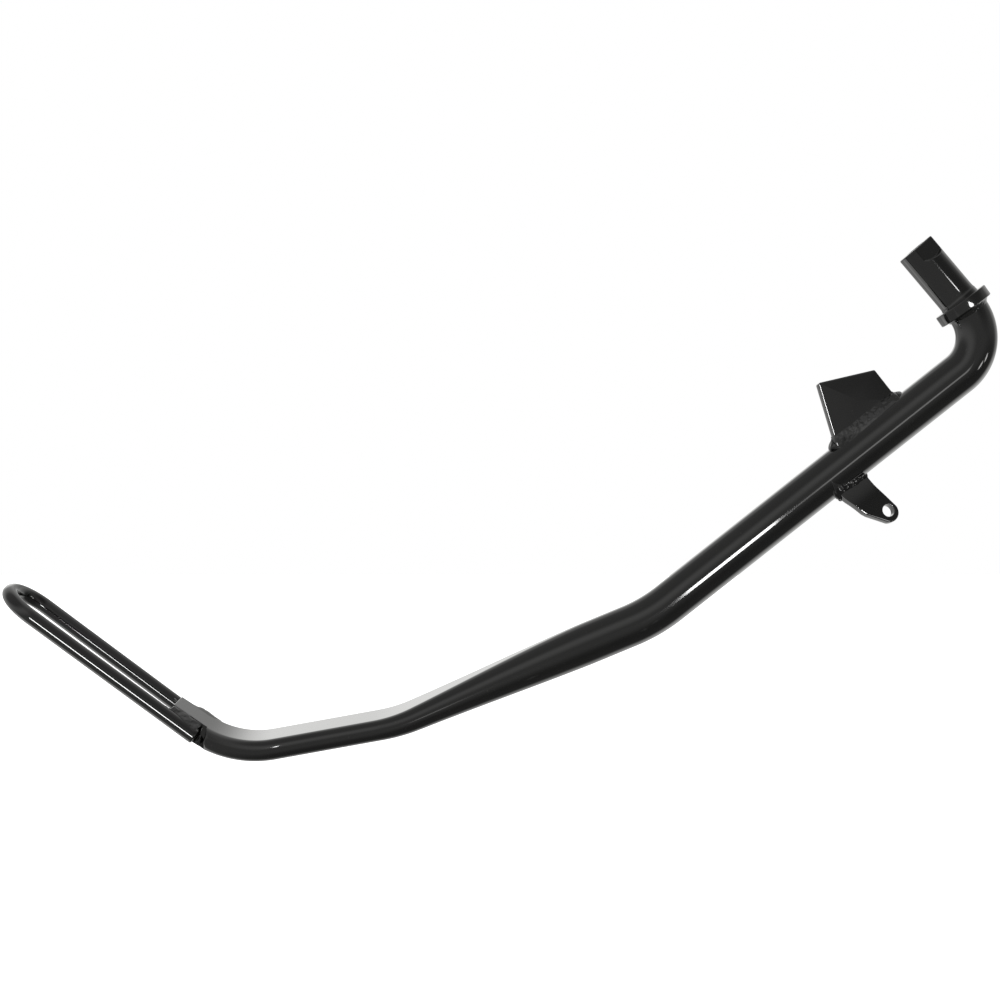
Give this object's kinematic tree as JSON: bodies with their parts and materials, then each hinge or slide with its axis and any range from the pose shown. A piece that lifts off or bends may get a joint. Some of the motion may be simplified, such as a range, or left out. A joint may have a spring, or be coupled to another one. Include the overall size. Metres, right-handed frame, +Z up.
{
  "type": "kickstand leg",
  "caption": "Bent steel kickstand leg with a turned pivot shaft, a stop plate, a spring tab and a rod foot loop, painted gloss black.",
  "frame": {"origin": "on the pivot shaft's axis where its full diameter starts, level with the highest edge of the collar's thrust face", "axes": "+Z up and -X towards the foot, both in the plane of the bar's bends; +Y square to that plane, on the side the spring tab is offset away from"},
  "size_m": [0.4731, 0.0389, 0.249],
  "materials": {
    "gloss_black_paint": "gloss",
    "gloss_black_weld": "gloss"
  },
  "bodies": {
    "root": {"leg_bar": "gloss_black_paint", "thrust_collar": "gloss_black_paint", "collar_weld": "gloss_black_weld", "stop_plate": "gloss_black_paint", "stop_weld_rear": "gloss_black_weld", "stop_weld_front": "gloss_black_weld", "spring_tab": "gloss_black_paint", "tab_weld_rear": "gloss_black_weld", "tab_weld_front": "gloss_black_weld", "foot_loop": "gloss_black_paint", "loop_weld_rear": "gloss_black_weld", "loop_weld_front": "gloss_black_weld"}
  },
  "joints": []
}
